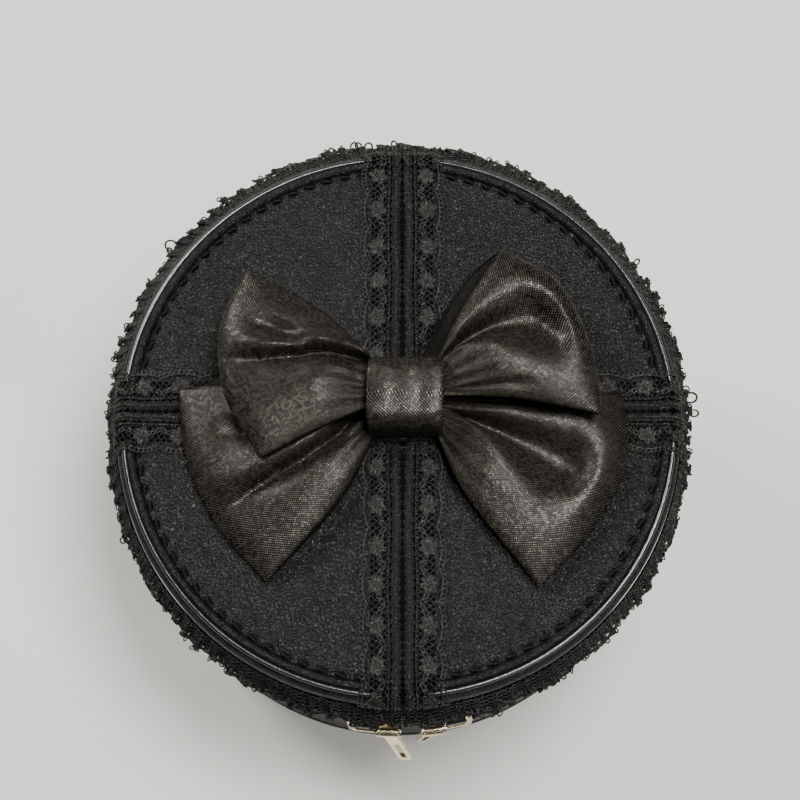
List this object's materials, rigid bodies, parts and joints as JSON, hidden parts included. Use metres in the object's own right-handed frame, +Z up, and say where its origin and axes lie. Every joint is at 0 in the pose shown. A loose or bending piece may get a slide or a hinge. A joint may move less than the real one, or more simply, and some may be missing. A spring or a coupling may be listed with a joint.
{
  "type": "jewelry gift box",
  "caption": "Round leatherette gift box with a hinged, zipped lid, trimmed with a lace cross, a lace frill and a double satin bow.",
  "frame": {"origin": "centre of the underside, on the surface the box stands on", "axes": "+Z up through the lid, -Y towards the front fittings, +Y towards the hinge"},
  "size_m": [0.1768, 0.1841, 0.131],
  "materials": {
    "leatherette": "pebble-grain black leatherette, semi-gloss",
    "board": "raw grey board",
    "lining": "soft dark lining cloth",
    "padding": "thin foam wadding",
    "zip_tape": "woven black tape",
    "zip_teeth": "black moulded coil",
    "thread": "twisted black thread",
    "lace": "matt black lace with fine specks of shine",
    "satin": "warm black satin with a fine warm glitter",
    "gilt_metal": "polished pale gilt"
  },
  "bodies": {
    "base": {"base_cover": "leatherette", "base_board": "board", "base_piping": "leatherette", "wall_board": "board", "wall_cover": "leatherette", "wall_lining": "lining", "floor_pad": "lining", "zip_tape_lower": "zip_tape", "zip_teeth_lower": "zip_teeth", "hinge_leaf_lower": "leatherette", "ring_tab_left": "leatherette", "ring_tab_right": "leatherette"},
    "lid": {"lid_board": "board", "lid_padding": "padding", "top_cover": "leatherette", "lid_piping": "leatherette", "top_stitching": "thread", "lid_wall_board": "board", "lid_side_cover": "leatherette", "lid_lining": "lining", "zip_tape_upper": "zip_tape", "zip_teeth_upper": "zip_teeth", "hinge_leaf_upper": "leatherette", "lace_frill": "lace", "lace_long_left": "lace", "lace_long_right": "lace", "lace_cross_front": "lace", "lace_cross_back": "lace", "bow_underband": "satin", "bow_loop_lower_left": "satin", "bow_loop_lower_right": "satin", "bow_loop_upper_left": "satin", "bow_loop_upper_right": "satin", "bow_knot": "satin"},
    "slider_left": {"slider_left": "gilt_metal"},
    "slider_right": {"slider_right": "gilt_metal"},
    "pull_left": {"pull_left": "gilt_metal"},
    "pull_right": {"pull_right": "gilt_metal"},
    "ring_left": {"ring_left": "gilt_metal"},
    "ring_right": {"ring_right": "gilt_metal"}
  },
  "joints": [
    {"name": "lid_hinge", "type": "hinge", "parent": "base", "child": "lid", "pos_m": [0, 0.0845, 0.081], "axis": [-1, 0, 0], "range_deg": [0, 110]},
    {"name": "slider_left_run", "type": "hinge", "parent": "base", "child": "slider_left", "pos_m": [0, 0, 0.081], "axis": [0, 0, -1], "range_deg": [0, 146]},
    {"name": "slider_right_run", "type": "hinge", "parent": "base", "child": "slider_right", "pos_m": [0, 0, 0.081], "axis": [0, 0, 1], "range_deg": [0, 141]},
    {"name": "pull_left_swing", "type": "hinge", "parent": "slider_left", "child": "pull_left", "pos_m": [-0.00281, -0.08936, 0.081], "axis": [-0.9995, 0.0314, 0], "range_deg": [0, 84]},
    {"name": "pull_right_swing", "type": "hinge", "parent": "slider_right", "child": "pull_right", "pos_m": [0.01059, -0.08877, 0.081], "axis": [-0.993, -0.1184, 0], "range_deg": [0, 95]},
    {"name": "ring_left_swing", "type": "hinge", "parent": "base", "child": "ring_left", "pos_m": [-0.00959, -0.08546, 0.066], "axis": [-0.9938, 0.1115, 0], "range_deg": [0, 95]},
    {"name": "ring_right_swing", "type": "hinge", "parent": "base", "child": "ring_right", "pos_m": [0.017, -0.0843, 0.066], "axis": [-0.9803, -0.1977, 0], "range_deg": [0, 95]}
  ]
}
